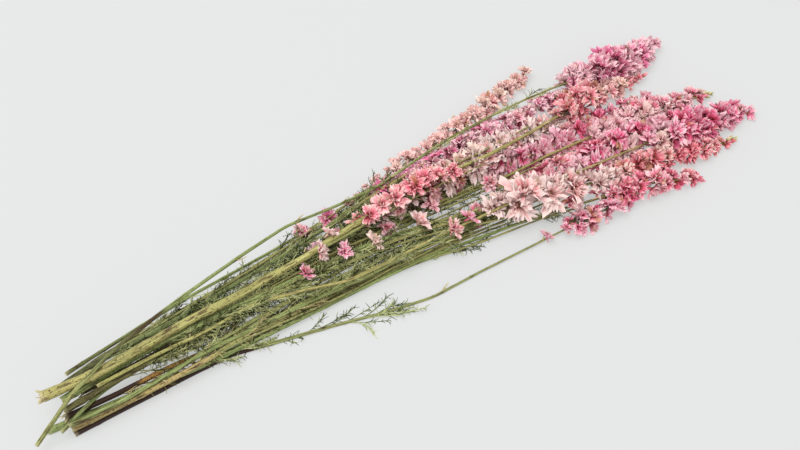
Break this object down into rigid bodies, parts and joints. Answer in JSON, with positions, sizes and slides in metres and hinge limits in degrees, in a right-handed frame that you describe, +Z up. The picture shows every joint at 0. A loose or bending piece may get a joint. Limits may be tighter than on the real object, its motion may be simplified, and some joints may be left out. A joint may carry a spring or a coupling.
{
  "type": "dried delphinium bunch",
  "caption": "Bunch of dried delphinium lying down: long cut stems with threadlike leaves, each ending in a spike of small pink florets.",
  "frame": {"origin": "middle of the bunch's box on the surface that it lies on", "axes": "+X along the bunch from the cut ends to the flower tips, +Y across it, +Z up"},
  "size_m": [0.7271, 0.1976, 0.0404],
  "materials": {
    "stem_pale_green": "dry, matt, pale yellow-green stalk with brown flecks",
    "stem_green": "dry, matt, green stalk and threadlike leaves",
    "stem_dark_green": "dry, matt, dark green stalk and threadlike leaves",
    "stem_olive": "dry, matt, olive stalk with fine ridges",
    "stem_rust": "dry, matt, orange-brown stalk with fine ridges",
    "stem_blackish": "dry, matt, nearly black at the cut end, green further up",
    "petals_deep_pink": "dry, papery, crumpled",
    "petals_mid_pink": "dry, papery, crumpled",
    "petals_salmon": "dry, papery, crumpled",
    "petals_orchid": "dry, papery, crumpled",
    "petals_pale": "dry, papery, crumpled",
    "bud_green": "dry, matt, closed buds"
  },
  "bodies": {
    "root": {"stem_low_edge": "stem_blackish", "stem_near_green": "stem_green", "stem_far_edge": "stem_green", "stem_rust": "stem_rust", "stem_brown": "stem_rust", "stem_thin_green": "stem_green", "stem_under_mid": "stem_olive", "stem_low_pair": "stem_green", "stem_second_far": "stem_olive", "stem_leafy_back": "stem_dark_green", "stem_olive": "stem_olive", "stem_leafy_mid": "stem_dark_green", "stem_bright": "stem_green", "stem_pale_thin": "stem_pale_green", "stem_thick": "stem_pale_green", "stem_cross": "stem_green", "spike_low_edge": "petals_deep_pink", "spike_near_green": "petals_mid_pink", "spike_far_edge": "petals_salmon", "spike_rust": "petals_salmon", "spike_brown": "petals_mid_pink", "spike_thin_green": "petals_deep_pink", "spike_under_mid": "petals_deep_pink", "spike_low_pair": "petals_deep_pink", "spike_second_far": "petals_orchid", "spike_leafy_back": "petals_orchid", "spike_olive": "petals_mid_pink", "spike_leafy_mid": "petals_pale", "spike_bright": "petals_pale", "spike_pale_thin": "petals_deep_pink", "spike_thick": "petals_salmon", "spike_cross": "petals_orchid", "bud_tip_rust": "bud_green", "bud_tip_olive": "bud_green", "floret_thick_1": "petals_pale", "floret_bright_1": "petals_deep_pink", "floret_second_far_1": "petals_salmon", "floret_thick_2": "petals_pale", "floret_bright_2": "petals_deep_pink", "floret_bright_3": "petals_deep_pink", "floret_bright_4": "petals_pale", "floret_pale_thin_1": "petals_salmon", "floret_pale_thin_2": "petals_deep_pink", "floret_low_edge_1": "petals_deep_pink"}
  },
  "joints": []
}
